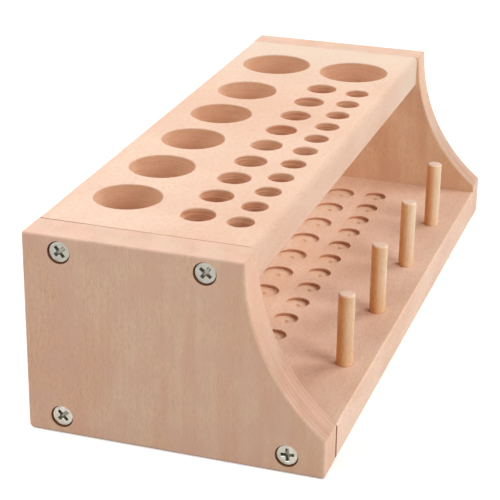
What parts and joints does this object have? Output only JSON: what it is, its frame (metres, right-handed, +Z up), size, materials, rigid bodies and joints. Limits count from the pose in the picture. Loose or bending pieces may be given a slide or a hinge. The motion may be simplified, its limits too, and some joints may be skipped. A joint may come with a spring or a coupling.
{
  "type": "wooden tool holder",
  "caption": "Bench-top wooden tool holder: a drilled upper board over an open shelf between two curved end panels, with upright pegs along the front.",
  "frame": {"origin": "middle of the footprint, on the surface that the holder stands on", "axes": "+X along the length towards the end with the widest holes, +Y towards the open back, away from the pegs, +Z up"},
  "size_m": [0.34, 0.14, 0.0965],
  "materials": {
    "beech_board": "sanded, unvarnished",
    "beech_base": "sanded, unvarnished",
    "beech_panel": "sanded, unvarnished",
    "birch_peg": "turned dowel, sanded",
    "zinc_screw": "bright zinc plated"
  },
  "bodies": {
    "root": {"top_board": "beech_board", "base_board": "beech_base", "left_panel": "beech_panel", "right_panel": "beech_panel", "peg_1": "birch_peg", "peg_2": "birch_peg", "peg_3": "birch_peg", "peg_4": "birch_peg", "screw_left_upper_back": "zinc_screw", "screw_left_upper_front": "zinc_screw", "screw_left_lower_back": "zinc_screw", "screw_left_lower_front": "zinc_screw", "screw_right_upper_back": "zinc_screw", "screw_right_upper_front": "zinc_screw", "screw_right_lower_back": "zinc_screw", "screw_right_lower_front": "zinc_screw"}
  },
  "joints": []
}
